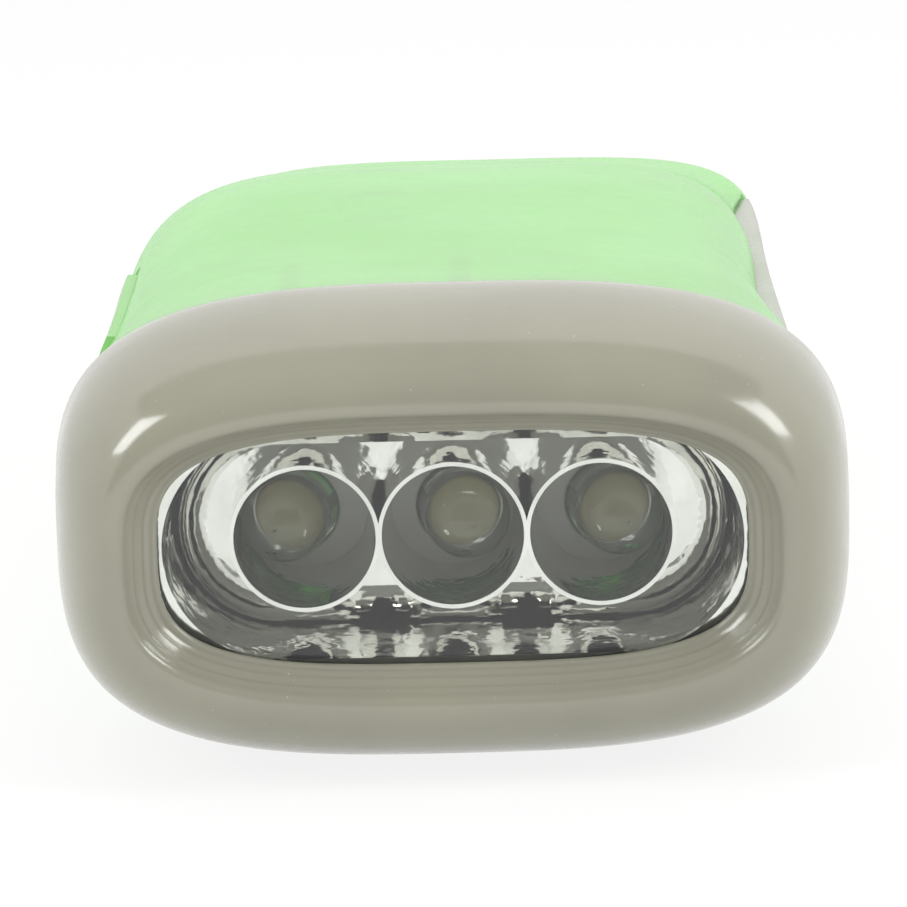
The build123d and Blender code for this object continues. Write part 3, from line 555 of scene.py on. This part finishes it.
def bezelRings(s):
    rings = [(depth, wide, tall, s["powers"][0]) for depth, wide, tall in s["rim"]]
    steps = s["shoulderSteps"]
    for i in range(steps, -1, -1):
        turn = pi / 2 * i / steps
        wide = s["crest"][0] + (s["widest"][0] - s["crest"][0]) * sin(turn)
        tall = s["crest"][1] + (s["widest"][1] - s["crest"][1]) * sin(turn)
        rings.append((s["widest"][2] * (1 - cos(turn)), wide, tall, s["powers"][0]))
    for depth, inSide, inTop in s["bevel"]:
        share = depth / s["bevel"][-1][0]
        power = s["powers"][0] + (s["powers"][1] - s["powers"][0]) * share
        rings.append((depth, s["crest"][0] - inSide, s["crest"][1] - inTop, power))
    return rings + s["inside"]


def ringThrough(bm, ring, s, front):
    depth, wide, tall, power = ring
    corners = bmesh.ops.create_circle(bm, segments=s["segments"], radius=1)["verts"]
    for i, corner in enumerate(corners):
        turn = 2 * pi * (i + 0.5) / s["segments"]
        x = wide * copysign(abs(cos(turn)) ** (2 / power), cos(turn))
        z = tall * copysign(abs(sin(turn)) ** (2 / power), sin(turn))
        corner.co = (x * mm, front + depth * mm, (s["height"] + z) * mm)
    return [bm.edges.get((corners[i - 1], corners[i])) for i in range(len(corners))]


def newPiece(name, bm, material, smoothBelow=35):
    bmesh.ops.recalc_face_normals(bm, faces=bm.faces)
    for face in bm.faces:
        face.smooth = True
    mesh = bpy.data.meshes.new(name)
    bm.to_mesh(mesh)
    bm.free()
    mesh.set_sharp_from_angle(angle=radians(smoothBelow))
    piece = bpy.data.objects.new(name, mesh)
    bpy.context.scene.collection.objects.link(piece)
    mesh.materials.append(materials[material])
    return piece


def makeBezel(s):
    bm = bmesh.new()
    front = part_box("front_bezel")[0][1]
    loops = [ringThrough(bm, ring, s, front) for ring in bezelRings(s)]
    for first, second in zip(loops, loops[1:] + loops[:1]):
        bmesh.ops.bridge_loops(bm, edges=first + second)
    bezel = newPiece("bezelSkin", bm, "bezelAbs", 60)
    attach(bezel, "case")
    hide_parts("front_bezel")


makeBezel(bezelSet)
print("bezel made")

# what shows inside each LED: two posts, the cup centred between them and its phosphor

ledSet = {
    "spots": {"Left": (-8.5, 12.0), "Middle": (0.0, -8.0), "Right": (8.5, -11.0)},
    "base": 16.4,
    "height": 13.9,
    "posts": {"radius": 0.26, "aside": 1.0, "low": 0.3, "high": 4.2},
    "cup": {"low": 3.7, "high": 5.0, "narrow": 0.6, "wide": 1.15},
    "phosphor": {"radius": 1.1, "low": 4.85, "high": 5.1},
}


def rodThrough(bm, frameOfLed, aside, low, high, lowRadius, highRadius):
    middle = frameOfLed @ Matrix.Translation((aside * mm, 0, (low + high) / 2 * mm))
    bmesh.ops.create_cone(
        bm,
        cap_ends=True,
        segments=32,
        radius1=lowRadius * mm,
        radius2=highRadius * mm,
        depth=(high - low) * mm,
        matrix=middle,
    )


def makeLedInside(name, x, tilt, s):
    tilt = radians(tilt)
    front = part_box("front_bezel")[0][1]
    ahead = Vector((-sin(tilt), -cos(tilt), 0))
    across = Vector((cos(tilt), -sin(tilt), 0))
    turned = Matrix((across, ahead.cross(across), ahead)).transposed().to_4x4()
    base = Vector((x * mm, front + s["base"] * mm, s["height"] * mm))
    frameOfLed = Matrix.Translation(base) @ turned
    metal = bmesh.new()
    post = s["posts"]
    for aside in (-post["aside"], post["aside"]):
        rodThrough(metal, frameOfLed, aside, post["low"], post["high"], post["radius"], post["radius"])
    rodThrough(metal, frameOfLed, 0, s["cup"]["low"], s["cup"]["high"], s["cup"]["narrow"], s["cup"]["wide"])
    spot = bmesh.new()
    radius = s["phosphor"]["radius"]
    rodThrough(spot, frameOfLed, 0, s["phosphor"]["low"], s["phosphor"]["high"], radius, radius)
    for piece, slotName in (
        (newPiece("ledPosts" + name, metal, "tinnedSteel"), "tinned_wire"),
        (newPiece("ledPhosphor" + name, spot, "phosphor"), "led_epoxy"),
    ):
        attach(piece, "case")


for ledName, (ledAt, ledTilt) in ledSet["spots"].items():
    makeLedInside(ledName, ledAt, ledTilt, ledSet)
print("LED insides made")

# the white collars behind the reflector's cups, which close the gap round each LED

collarSet = {
    "spots": [(-8.5, -9.24), (0.0, 0.49), (8.5, 9.18)],  # the middle of each collar and of its hole
    "height": 13.9,
    "depth": 12.9,
    "hole": 2.62,
    "outside": 4.1,
    "thick": 0.6,
}


def makeCollars(s):
    bm = bmesh.new()
    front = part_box("front_bezel")[0][1]
    for outsideX, holeX in s["spots"]:
        rims = []
        for x, radius in ((outsideX, s["outside"]), (holeX, s["hole"])):
            place = Matrix.Translation((x * mm, front + s["depth"] * mm, s["height"] * mm))
            place = place @ Matrix.Rotation(pi / 2, 4, "X")
            corners = bmesh.ops.create_circle(bm, segments=64, radius=radius * mm, matrix=place)["verts"]
            rims += [bm.edges.get((corners[i - 1], corners[i])) for i in range(len(corners))]
        washer = bmesh.ops.bridge_loops(bm, edges=rims)["faces"]
        thickened = bmesh.ops.extrude_face_region(bm, geom=washer)["geom"]
        moved = [part for part in thickened if isinstance(part, bmesh.types.BMVert)]
        bmesh.ops.translate(bm, verts=moved, vec=(0, s["thick"] * mm, 0))
    collars = newPiece("ledCollars", bm, "solderMask")
    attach(collars, "case")


makeCollars(collarSet)
print("LED collars made")
